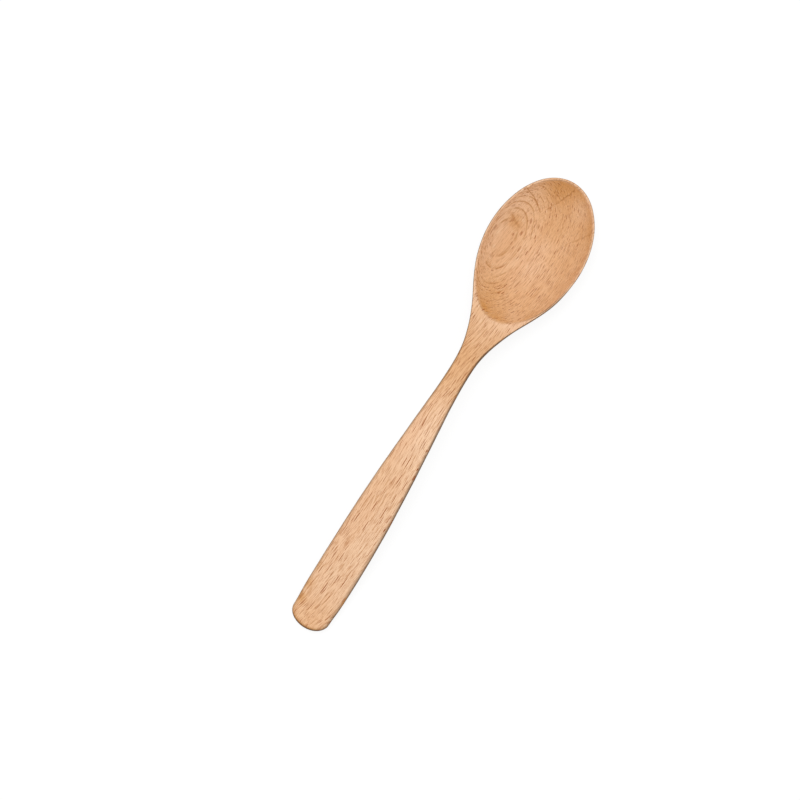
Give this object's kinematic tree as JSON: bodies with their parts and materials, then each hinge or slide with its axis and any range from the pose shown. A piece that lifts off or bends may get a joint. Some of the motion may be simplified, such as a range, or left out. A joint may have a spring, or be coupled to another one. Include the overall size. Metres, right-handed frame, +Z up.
{
  "type": "wooden spoon",
  "caption": "One-piece beech spoon with an egg-shaped bowl, a slim arched neck and a flat, rounded handle.",
  "frame": {"origin": "on the table under the middle of the spoon's length and width, as the spoon lies at rest", "axes": "+X along the handle towards the tip of the bowl, +Z up out of the hollow, +Y across to the left"},
  "size_m": [0.19, 0.0382, 0.0169],
  "materials": {
    "beech": "steamed beech, sanded fine and lightly oiled, with short dark ray flecks"
  },
  "bodies": {
    "root": {"spoon": "beech"}
  },
  "joints": []
}
